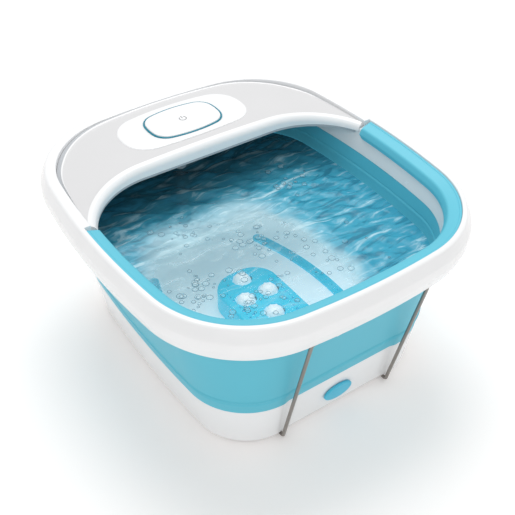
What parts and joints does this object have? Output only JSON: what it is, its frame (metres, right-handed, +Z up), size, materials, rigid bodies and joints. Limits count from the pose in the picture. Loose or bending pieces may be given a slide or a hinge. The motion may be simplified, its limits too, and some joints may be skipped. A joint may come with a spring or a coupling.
{
  "type": "pedicure foot bath",
  "caption": "Collapsible pedicure foot bath with folding silicone wall, bubble floor, massage rollers, hooded control button and swing-out wire supports.",
  "frame": {"origin": "on the floor, under the centre of the base outline", "axes": "+X across the tub to the user's right, +Y towards the hood, +Z up; the drain side faces -Y"},
  "size_m": [0.3686, 0.4107, 0.205],
  "materials": {
    "white_shell": "smooth moulded white plastic with a soft gloss",
    "white_pan": "smooth moulded white plastic",
    "grey_cover": "fine moulded grey plastic",
    "zinc_screws": "zinc-plated steel",
    "black_rubber": "matt black rubber",
    "blue_silicone": "satin light blue silicone",
    "blue_lip": "satin sky blue silicone",
    "blue_plug": "satin mid blue silicone",
    "steel_wire": "plain drawn steel wire",
    "white_button": "polished white plastic",
    "teal_ring": "dark teal translucent plastic, unlit",
    "switch_black": "black plastic",
    "spring_steel": "bright steel",
    "board_green": "green circuit board with black parts",
    "pump_grey": "grey plastic",
    "aqua_panel": "gloss aqua plastic",
    "aqua_strip": "gloss aqua plastic",
    "roller_white": "gloss white plastic",
    "clear_hose": "milky soft tube",
    "duct_rubber": "grey soft bellows",
    "loom_jacket": "black braided sleeve",
    "heater_aluminium": "rolled aluminium",
    "motor_can": "plated steel can"
  },
  "bodies": {
    "base": {"base_shell": "white_shell", "floor_pan": "white_pan", "bottom_cover": "grey_cover", "base_screws": "zinc_screws", "rubber_feet": "black_rubber", "silicone_wall": "blue_silicone", "roller_panel": "aqua_panel", "roller_axles": "spring_steel", "bubble_strip_left": "aqua_strip", "bubble_strip_right": "aqua_strip", "air_channel_left": "grey_cover", "air_channel_right": "grey_cover", "air_hoses": "clear_hose", "air_tee": "grey_cover", "cable_duct": "duct_rubber", "wiring_loom": "loom_jacket", "heater_plate": "heater_aluminium", "thermostat": "spring_steel", "vibration_motor": "motor_can", "motor_bracket": "grey_cover", "drain_fitting": "grey_cover"},
    "rim": {"rim_frame": "white_shell", "lip_trim": "blue_lip", "wall_clamp_ring": "grey_cover", "clamp_screws": "zinc_screws", "cord_gland": "grey_cover", "wire_clips": "white_shell", "hood_cover": "white_shell", "hood_tray": "grey_cover", "hood_screws": "zinc_screws", "button_bezel": "white_shell", "light_ring": "teal_ring", "button_switch": "switch_black", "button_spring": "spring_steel", "circuit_board": "board_green", "air_pump": "pump_grey", "pump_mounts": "black_rubber"},
    "front_wire": {"front_support_wire": "steel_wire"},
    "rear_wire": {"rear_support_wire": "steel_wire"},
    "power_button": {"power_button": "white_button"},
    "drain_plug": {"drain_plug": "blue_plug", "drain_seal": "black_rubber"},
    "roller_1": {"massage_roller_1": "roller_white"},
    "roller_2": {"massage_roller_2": "roller_white"},
    "roller_3": {"massage_roller_3": "roller_white"},
    "roller_4": {"massage_roller_4": "roller_white"},
    "motor_weight": {"eccentric_weight": "spring_steel"}
  },
  "joints": [
    {"name": "rim_collapse", "type": "slide", "parent": "base", "child": "rim", "axis": [0, 0, -1], "range_m": [0, 0.08], "deforming": ["silicone_wall", "cable_duct", "wiring_loom"]},
    {"name": "front_wire_swing", "type": "hinge", "parent": "rim", "child": "front_wire", "pos_m": [0, -0.195, 0.1635], "axis": [-1, 0, 0], "range_deg": [0, 80]},
    {"name": "rear_wire_swing", "type": "hinge", "parent": "rim", "child": "rear_wire", "pos_m": [0, 0.195, 0.1635], "axis": [1, 0, 0], "range_deg": [0, 80]},
    {"name": "button_press", "type": "slide", "parent": "rim", "child": "power_button", "axis": [0, 0, -1], "range_m": [0, 0.0012], "stiffness_N_per_m": 2500, "springref_m": -0.0006, "deforming": ["button_spring"]},
    {"name": "drain_plug_pull", "type": "slide", "parent": "base", "child": "drain_plug", "axis": [0, -1, 0], "range_m": [0, 0.025]},
    {"name": "roller_1_spin", "type": "hinge", "parent": "base", "child": "roller_1", "pos_m": [0, 0.017, 0.0475], "axis": [1, 0, 0], "continuous": true},
    {"name": "roller_2_spin", "type": "hinge", "parent": "base", "child": "roller_2", "pos_m": [-0.015, -0.014, 0.0475], "axis": [1, 0, 0], "continuous": true},
    {"name": "roller_3_spin", "type": "hinge", "parent": "base", "child": "roller_3", "pos_m": [0.015, -0.014, 0.0475], "axis": [1, 0, 0], "continuous": true},
    {"name": "roller_4_spin", "type": "hinge", "parent": "base", "child": "roller_4", "pos_m": [0, -0.047, 0.0475], "axis": [1, 0, 0], "continuous": true},
    {"name": "weight_spin", "type": "hinge", "parent": "base", "child": "motor_weight", "pos_m": [0.02, 0.066, 0.0142], "axis": [1, 0, 0], "continuous": true}
  ],
  "couplings": [
    {"joint": "front_wire_swing", "follows": "rim_collapse", "rad_per_m": 17.4},
    {"joint": "rear_wire_swing", "follows": "rim_collapse", "rad_per_m": 17.4}
  ]
}
